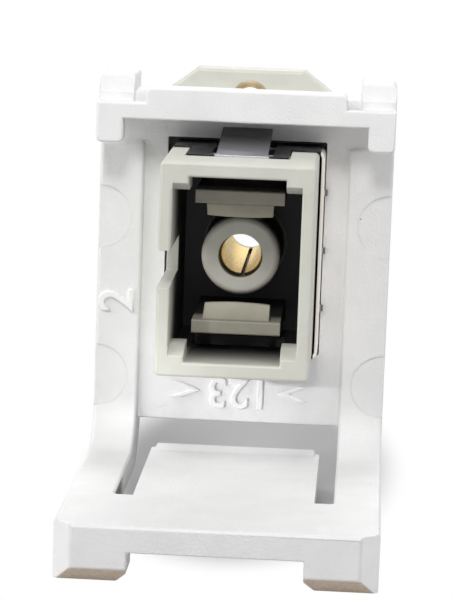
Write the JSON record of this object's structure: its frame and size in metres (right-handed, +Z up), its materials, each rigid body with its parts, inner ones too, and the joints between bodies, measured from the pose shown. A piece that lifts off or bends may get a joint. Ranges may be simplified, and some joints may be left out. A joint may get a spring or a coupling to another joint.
{
  "type": "simplex fibre adapter in snap-in holder",
  "caption": "Push-pull fibre adapter with latch hooks, split sleeve and steel clip, snapped into the panel of a white module holder with a springy shelf.",
  "frame": {"origin": "point where the two ferrules meet: on the sleeve's axis, in the joint plane of the housing halves", "axes": "+X right and +Z up seen from the open side of the holder, +Y along the port's axis towards the rear port"},
  "size_m": [0.0186, 0.0385, 0.0276],
  "materials": {
    "holder_plastic": "fine moulded satin",
    "housing_plastic": "smooth satin",
    "carrier_plastic": "smooth satin",
    "sleeve_bronze": "drawn bronze",
    "clip_steel": "rolled spring sheet",
    "insert_brass": "turned"
  },
  "bodies": {
    "root": {"module_holder": "holder_plastic", "front_housing": "housing_plastic", "rear_housing": "housing_plastic", "front_latch_carrier": "carrier_plastic", "rear_latch_carrier": "carrier_plastic", "alignment_sleeve": "sleeve_bronze", "retaining_clip": "clip_steel", "upper_flange_insert": "insert_brass", "lower_flange_insert": "insert_brass"}
  },
  "joints": []
}
